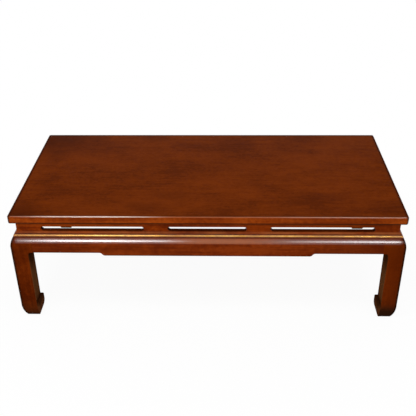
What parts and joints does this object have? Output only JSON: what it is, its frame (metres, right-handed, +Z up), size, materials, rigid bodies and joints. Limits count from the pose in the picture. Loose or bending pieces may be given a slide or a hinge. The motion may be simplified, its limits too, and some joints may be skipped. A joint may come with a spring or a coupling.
{
  "type": "coffee table",
  "caption": "Low rectangular coffee table with an overhanging top, pierced recessed waist, gilt bead moulding, bulging aprons with dropped middles, and horse-hoof legs.",
  "frame": {"origin": "on the floor under the middle of the table", "axes": "+X along the table's length, +Z up; the front long side is at -Y"},
  "size_m": [1.2832, 0.6232, 0.406],
  "materials": {
    "top_veneer_wood": "dark red-brown mottled face veneer, satin lacquer",
    "edge_wood": "red-brown stained solid wood, satin lacquer",
    "waist_wood": "red-brown stained solid wood, satin lacquer",
    "apron_wood": "red-brown stained solid wood, satin lacquer",
    "leg_wood": "red-brown stained solid wood, satin lacquer",
    "gilt": "worn gilding over red-brown wood",
    "hidden_wood": "plain unfinished framing wood",
    "core_board": "plain unfinished core board",
    "dowel_wood": "plain beech, split to eight flats",
    "screw_steel": "zinc-plated steel"
  },
  "bodies": {
    "root": {"top_veneer": "top_veneer_wood", "top_core": "core_board", "lipping_front": "edge_wood", "waist_front": "waist_wood", "gilt_moulding_front": "gilt", "apron_front": "apron_wood", "top_cleat_front": "hidden_wood", "lipping_right": "edge_wood", "waist_right": "waist_wood", "gilt_moulding_right": "gilt", "apron_right": "apron_wood", "top_cleat_right": "hidden_wood", "lipping_back": "edge_wood", "waist_back": "waist_wood", "gilt_moulding_back": "gilt", "apron_back": "apron_wood", "top_cleat_back": "hidden_wood", "lipping_left": "edge_wood", "waist_left": "waist_wood", "gilt_moulding_left": "gilt", "apron_left": "apron_wood", "top_cleat_left": "hidden_wood", "leg_front_left": "leg_wood", "corner_block_front_left": "hidden_wood", "leg_front_right": "leg_wood", "corner_block_front_right": "hidden_wood", "leg_back_right": "leg_wood", "corner_block_back_right": "hidden_wood", "leg_back_left": "leg_wood", "corner_block_back_left": "hidden_wood", "top_batten_left": "hidden_wood", "top_batten_right": "hidden_wood", "top_screws": "screw_steel", "block_screws": "screw_steel", "lag_screws": "screw_steel", "lag_washers": "screw_steel", "waist_dowels": "dowel_wood"}
  },
  "joints": []
}
